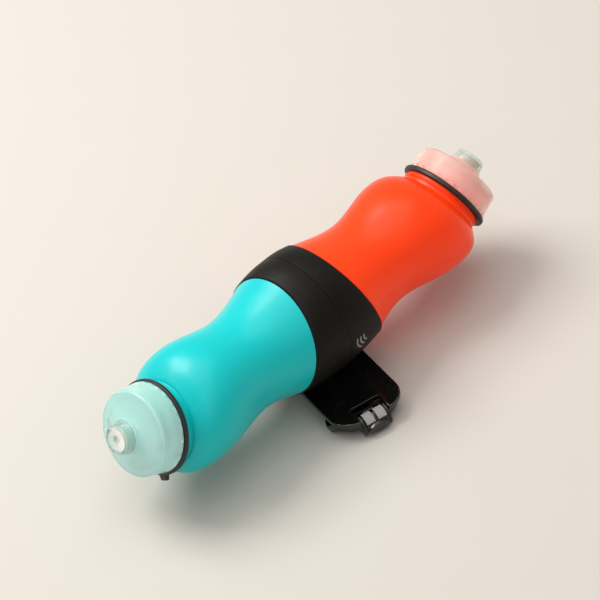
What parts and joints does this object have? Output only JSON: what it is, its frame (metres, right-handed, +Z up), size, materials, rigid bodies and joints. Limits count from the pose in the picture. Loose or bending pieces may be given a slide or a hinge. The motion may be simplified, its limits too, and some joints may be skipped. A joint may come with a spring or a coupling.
{
  "type": "two-chamber squeeze bottle",
  "caption": "Squeeze bottle of two wavy flasks held end to end by a dark wedge-shaped band, with pull-nozzle screw caps at both ends and a swivelling sprung belt clip underneath.",
  "frame": {"origin": "on the surface the bottle lies on, under the centre of its bounding box", "axes": "+X along the bottle towards the orange flask, +Z up from the surface; the belt clip reaches towards -Y; the bottle lies flat on the clip's jaw"},
  "size_m": [0.2672, 0.0952, 0.078],
  "materials": {
    "flask_teal": "glossy, slightly translucent",
    "flask_orange": "glossy, slightly translucent",
    "band": "satin, fine grain",
    "clip": "glossy",
    "pads": "matte, fine texture",
    "grip": "matte",
    "ring": "satin rubber",
    "cap": "translucent, lightly frosted",
    "nozzle": "translucent",
    "liner": "matte",
    "cushion": "matte foam rubber",
    "washer": "matte",
    "pivot": "satin",
    "steel": "satin steel"
  },
  "bodies": {
    "bottle": {"collar_orange": "band", "collar_teal": "band", "collar_screws": "steel", "clip_pivot": "pivot", "pivot_washer": "washer", "pivot_retainer": "steel", "pivot_screw": "steel", "flask_orange": "flask_orange", "flask_teal": "flask_teal", "neck_ring_orange": "ring", "neck_ring_teal": "ring", "base_cushion_orange": "cushion", "base_cushion_teal": "cushion"},
    "clip": {"clip_plate": "clip", "hinge_pin": "steel"},
    "jaw": {"clip_jaw": "clip", "jaw_grip": "grip", "jaw_spring": "steel", "latch_pin": "steel", "latch_spring": "steel"},
    "latch": {"latch": "clip", "latch_pads": "pads"},
    "liner_orange": {"cap_liner_orange": "liner"},
    "cap_orange": {"cap_orange": "cap"},
    "nozzle_orange": {"nozzle_orange": "nozzle"},
    "liner_teal": {"cap_liner_teal": "liner"},
    "cap_teal": {"cap_teal": "cap"},
    "nozzle_teal": {"nozzle_teal": "nozzle"}
  },
  "joints": [
    {"name": "clip_swivel", "type": "hinge", "parent": "bottle", "child": "clip", "pos_m": [0.0025, 0.01305, 0.0104], "axis": [0, 0, 1], "range_deg": [-32, 58]},
    {"name": "jaw_hinge", "type": "hinge", "parent": "clip", "child": "jaw", "pos_m": [-0.00065, -0.00059, 0.005], "axis": [0.9744, -0.225, 0], "range_deg": [0, 7], "stiffness_Nm_per_rad": 0.8, "springref_deg": -5.73},
    {"name": "latch_hinge", "type": "hinge", "parent": "jaw", "child": "latch", "pos_m": [-0.00956, -0.03917, 0.006], "axis": [0.9744, -0.225, 0], "range_deg": [0, 25], "stiffness_Nm_per_rad": 0.001, "springref_deg": -5.73},
    {"name": "cap_lift_orange", "type": "slide", "parent": "bottle", "child": "liner_orange", "axis": [0.9272, 0, 0.3746], "range_m": [0, 0.006]},
    {"name": "cap_turn_orange", "type": "hinge", "parent": "liner_orange", "child": "cap_orange", "pos_m": [0.107, 0.01305, 0.0477], "axis": [0.9272, 0, 0.3746], "range_deg": [0, 541]},
    {"name": "nozzle_pull_orange", "type": "slide", "parent": "cap_orange", "child": "nozzle_orange", "axis": [0.9272, 0, 0.3746], "range_m": [0, 0.0025]},
    {"name": "cap_lift_teal", "type": "slide", "parent": "bottle", "child": "liner_teal", "axis": [-0.9272, 0, 0.3746], "range_m": [0, 0.006]},
    {"name": "cap_turn_teal", "type": "hinge", "parent": "liner_teal", "child": "cap_teal", "pos_m": [-0.107, 0.01305, 0.0477], "axis": [-0.9272, 0, 0.3746], "range_deg": [0, 541]},
    {"name": "nozzle_pull_teal", "type": "slide", "parent": "cap_teal", "child": "nozzle_teal", "axis": [-0.9272, 0, 0.3746], "range_m": [0, 0.0025]}
  ],
  "couplings": [
    {"joint": "cap_turn_orange", "follows": "cap_lift_orange", "rad_per_m": 1570.8},
    {"joint": "cap_turn_teal", "follows": "cap_lift_teal", "rad_per_m": 1570.8}
  ]
}
